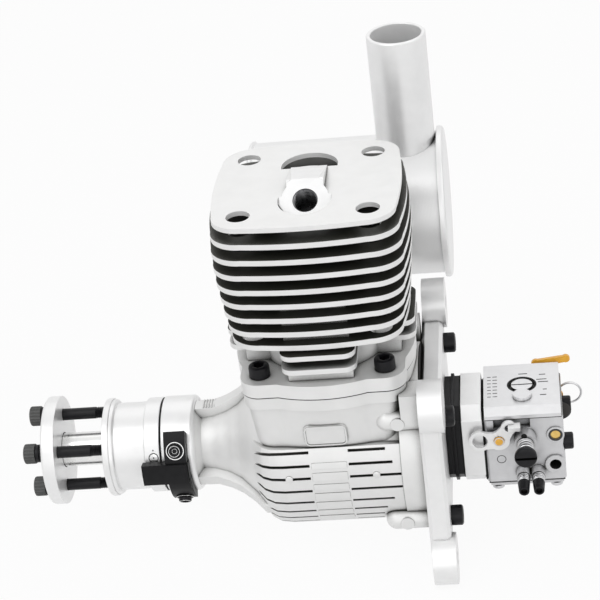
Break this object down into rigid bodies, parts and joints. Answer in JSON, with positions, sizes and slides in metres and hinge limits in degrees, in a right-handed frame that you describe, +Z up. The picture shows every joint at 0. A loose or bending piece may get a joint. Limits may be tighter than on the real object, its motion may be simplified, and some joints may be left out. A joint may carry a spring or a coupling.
{
  "type": "model aircraft petrol engine",
  "caption": "Air-cooled single-cylinder two-stroke petrol engine for a model aircraft, with drive hub, reed intake, carburettor and side silencer.",
  "frame": {"origin": "on the crank axis, in the plane of the four lug faces that bolt to the firewall", "axes": "+X aft along the crank axis from propeller to carburettor, +Y to the silencer side, +Z up the cylinder; the propeller is on the -X side"},
  "size_m": [0.2346, 0.1654, 0.1935],
  "materials": {
    "case_casting": "fine bead-blasted casting",
    "cylinder_casting": "bead-blasted casting with machined pads",
    "machined_aluminium": "satin turned and milled",
    "piston_alloy": "turned",
    "carburettor_casting": "smooth die casting",
    "cover_plate": "pressed plate, satin",
    "can_aluminium": "spun, satin",
    "polished_steel": "polished",
    "machined_steel": "ground",
    "black_steel": "black oxide, oiled",
    "black_plastic": "moulded, matte",
    "orange_plastic": "moulded",
    "brass": "turned",
    "piston_ring_iron": "ground",
    "gasket_paper": "pressed fibre sheet",
    "seal_rubber": "moulded",
    "magnet": "plated"
  },
  "bodies": {
    "engine_block": {"bearing_outer_races": "polished_steel", "carburettor_body": "carburettor_casting", "carburettor_bolts": "black_steel", "carburettor_diaphragms": "seal_rubber", "cover_screws": "machined_steel", "crankcase": "case_casting", "crankcase_gasket": "gasket_paper", "cylinder": "cylinder_casting", "cylinder_bolts": "black_steel", "cylinder_gasket": "gasket_paper", "exhaust_bolts": "black_steel", "exhaust_flange": "machined_aluminium", "exhaust_gasket": "gasket_paper", "exhaust_tube": "can_aluminium", "front_oil_seal": "seal_rubber", "idle_screw_spring": "machined_steel", "insulator_block": "black_plastic", "intake_gaskets": "gasket_paper", "intake_spacer": "machined_aluminium", "metering_cover": "cover_plate", "mount_plate_bolts": "black_steel", "muffler_can": "can_aluminium", "muffler_end_cap": "can_aluminium", "needle_springs": "machined_steel", "pump_cover": "carburettor_casting", "rear_mount_plate": "machined_aluminium", "reed_block": "black_plastic", "reed_stops": "machined_steel", "sensor_holder": "black_plastic", "sensor_ring": "machined_aluminium", "sensor_screws": "black_steel", "throttle_spring": "machined_steel"},
    "crankshaft": {"crankshaft": "machined_steel", "bearing_inner_races": "polished_steel", "drive_hub": "machined_aluminium", "hub_key": "machined_steel", "timing_magnet": "magnet", "spigot_nut": "polished_steel", "front_washer": "machined_aluminium", "propeller_bolts": "black_steel"},
    "bearing_balls": {"bearing_balls": "polished_steel"},
    "piston": {"piston": "piston_alloy", "piston_rings": "piston_ring_iron", "wrist_pin": "polished_steel", "wrist_pin_circlips": "machined_steel"},
    "connecting_rod": {"connecting_rod": "machined_steel", "rod_bearings": "machined_steel", "crankpin": "polished_steel"},
    "throttle": {"throttle_shaft": "machined_steel", "throttle_plate": "brass", "throttle_lever": "machined_steel"},
    "choke": {"choke_shaft": "brass", "choke_plate": "brass", "choke_lever": "orange_plastic", "choke_pull_ring": "polished_steel"},
    "idle_speed_screw": {"idle_speed_screw": "black_steel"},
    "low_speed_needle": {"low_speed_needle": "black_steel"},
    "high_speed_needle": {"high_speed_needle": "black_steel"},
    "upper_reed": {"upper_reed_petal": "machined_steel"},
    "lower_reed": {"lower_reed_petal": "machined_steel"}
  },
  "joints": [
    {"name": "crank_spin", "type": "hinge", "parent": "engine_block", "child": "crankshaft", "pos_m": [-0.048, 0, 0], "axis": [1, 0, 0], "continuous": true},
    {"name": "bearing_ball_orbit", "type": "hinge", "parent": "engine_block", "child": "bearing_balls", "pos_m": [-0.048, 0, 0], "axis": [1, 0, 0], "continuous": true},
    {"name": "piston_travel", "type": "slide", "parent": "engine_block", "child": "piston", "axis": [0, 0, 1], "range_m": [-0.028, 0]},
    {"name": "rod_swing", "type": "hinge", "parent": "piston", "child": "connecting_rod", "pos_m": [-0.048, 0, 0.068], "axis": [1, 0, 0], "range_deg": [-15, 15]},
    {"name": "throttle_turn", "type": "hinge", "parent": "engine_block", "child": "throttle", "pos_m": [0.02, 0, 0.0052], "axis": [0, -1, 0], "range_deg": [0, 80], "stiffness_Nm_per_rad": 0.02, "springref_deg": -34.38},
    {"name": "choke_turn", "type": "hinge", "parent": "engine_block", "child": "choke", "pos_m": [0.043, 0, 0.0052], "axis": [0, 1, 0], "range_deg": [0, 85]},
    {"name": "idle_speed_screw_turn", "type": "hinge", "parent": "engine_block", "child": "idle_speed_screw", "pos_m": [0.0306, 0, 0.0048], "axis": [0, 1, 0], "range_deg": [-720, 720]},
    {"name": "low_speed_needle_turn", "type": "hinge", "parent": "engine_block", "child": "low_speed_needle", "pos_m": [0.0289, 0, -0.0122], "axis": [0, 1, 0], "range_deg": [-450, 450]},
    {"name": "high_speed_needle_turn", "type": "hinge", "parent": "engine_block", "child": "high_speed_needle", "pos_m": [0.035, 0, -0.0122], "axis": [0, 1, 0], "range_deg": [-450, 450]},
    {"name": "upper_reed_lift", "type": "hinge", "parent": "engine_block", "child": "upper_reed", "pos_m": [-0.0144, 0, 0.01455], "axis": [0, 1, 0], "range_deg": [0, 10], "stiffness_Nm_per_rad": 0.05},
    {"name": "lower_reed_lift", "type": "hinge", "parent": "engine_block", "child": "lower_reed", "pos_m": [-0.0144, 0, -0.00415], "axis": [0, -1, 0], "range_deg": [0, 10], "stiffness_Nm_per_rad": 0.05}
  ],
  "couplings": [
    {"joint": "bearing_ball_orbit", "follows": "crank_spin", "ratio": 0.384},
    {"joint": "lower_reed_lift", "follows": "upper_reed_lift", "ratio": 1}
  ]
}
